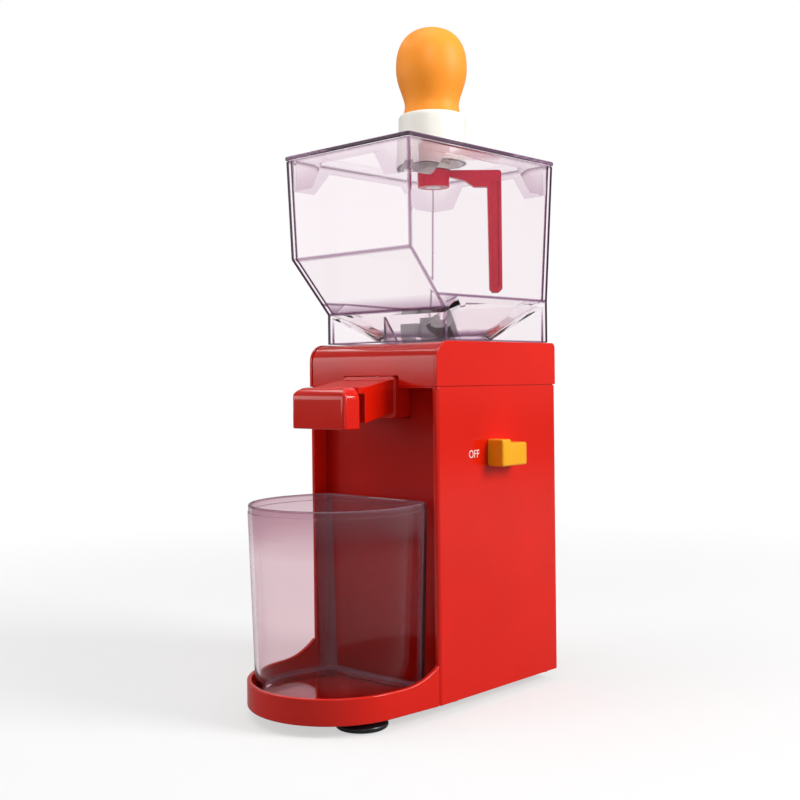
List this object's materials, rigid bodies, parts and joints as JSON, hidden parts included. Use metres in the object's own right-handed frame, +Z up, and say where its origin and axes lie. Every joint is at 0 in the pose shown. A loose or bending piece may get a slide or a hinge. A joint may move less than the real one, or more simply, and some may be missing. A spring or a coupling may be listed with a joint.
{
  "type": "nut butter grinder",
  "caption": "Upright electric nut butter grinder: red housing with a spout and round tray, clear hopper with a knob-turned stirrer, sliding switch and clear cup.",
  "frame": {"origin": "centre of the bounding box on the surface that the feet stand on", "axes": "+Z up; -Y to the front, towards spout and cup; +X to the side that carries the switch"},
  "size_m": [0.0998, 0.1662, 0.347],
  "materials": {
    "red_shell": "glossy red moulded plastic",
    "red_trim": "glossy red moulded plastic in the recess",
    "clear_bin": "clear moulded plastic with a faint mauve tint",
    "clear_cup": "clear moulded plastic with a faint mauve tint",
    "orange_knob": "satin orange plastic",
    "cream_collar": "satin cream-white plastic",
    "crimson_stirrer": "glossy crimson plastic",
    "amber_switch": "satin amber plastic",
    "black_rubber": "black rubber",
    "steel": "bright steel",
    "burr_iron": "ground iron",
    "alloy": "cast aluminium",
    "dark_plastic": "dark filled plastic",
    "pale_plastic": "pale acetal",
    "bronze": "sintered bronze",
    "board": "circuit board"
  },
  "bodies": {
    "housing": {"lower_housing": "red_shell", "recess_panel": "red_trim", "rear_cover": "red_shell", "base_tray": "red_shell", "front_feet": "black_rubber", "rear_feet": "black_rubber", "deck": "dark_plastic", "head_cover": "red_shell", "head_side_left": "red_shell", "head_side_right": "red_shell", "grinding_chamber": "alloy", "burr_ring": "burr_iron", "shaft_seal": "black_rubber", "shaft_bush": "bronze", "gearbox_case": "dark_plastic", "gearbox_cover": "dark_plastic", "idler_pin": "steel", "motor_bracket": "steel", "motor_can": "steel", "motor_end_cap": "dark_plastic", "motor_magnets": "burr_iron", "motor_bearings": "bronze", "switch_body": "dark_plastic", "rectifier_board": "board", "cord_inlet": "black_rubber", "spout": "red_shell", "spout_cap": "red_shell", "base_screws": "steel", "rear_screws": "steel", "deck_screws": "steel", "gearbox_screws": "steel"},
    "hopper": {"hopper": "clear_bin"},
    "lid": {"hopper_lid": "clear_bin", "stir_collar": "cream_collar"},
    "stirrer": {"stir_knob": "orange_knob", "stir_spindle": "steel", "stir_arm": "crimson_stirrer"},
    "cup": {"cup": "clear_cup"},
    "switch": {"switch_knob": "amber_switch"},
    "motor": {"motor_rotor": "steel", "motor_pinion": "steel", "cooling_fan": "pale_plastic"},
    "idler": {"idler_gear": "pale_plastic"},
    "grinder": {"grinder_shaft": "steel", "burr_cone": "burr_iron", "feed_screw": "burr_iron", "wiper_disc": "pale_plastic", "output_gear": "pale_plastic"}
  },
  "joints": [
    {"name": "stirrer_turn", "type": "hinge", "parent": "lid", "child": "stirrer", "pos_m": [-0.0049, 0.03425, 0.305], "axis": [0, 0, 1], "continuous": true},
    {"name": "lid_lift", "type": "slide", "parent": "hopper", "child": "lid", "axis": [0, 0, 1], "range_m": [0, 0.08]},
    {"name": "hopper_lift", "type": "slide", "parent": "housing", "child": "hopper", "axis": [0, 0, 1], "range_m": [0, 0.04]},
    {"name": "cup_lift", "type": "slide", "parent": "housing", "child": "cup", "axis": [0, 0, 1], "range_m": [0, 0.03]},
    {"name": "switch_slide", "type": "slide", "parent": "housing", "child": "switch", "axis": [0, 1, 0], "range_m": [0, 0.007]},
    {"name": "motor_spin", "type": "hinge", "parent": "housing", "child": "motor", "pos_m": [-0.0049, 0.03425, 0.065], "axis": [0, 0, 1], "continuous": true},
    {"name": "idler_spin", "type": "hinge", "parent": "housing", "child": "idler", "pos_m": [-0.01941, 0.05026, 0.115], "axis": [0, 0, 1], "continuous": true},
    {"name": "grinder_spin", "type": "hinge", "parent": "housing", "child": "grinder", "pos_m": [-0.0049, 0.03425, 0.145], "axis": [0, 0, 1], "continuous": true}
  ],
  "couplings": [
    {"joint": "idler_spin", "follows": "motor_spin", "ratio": -0.33333},
    {"joint": "grinder_spin", "follows": "motor_spin", "ratio": 0.11111}
  ]
}
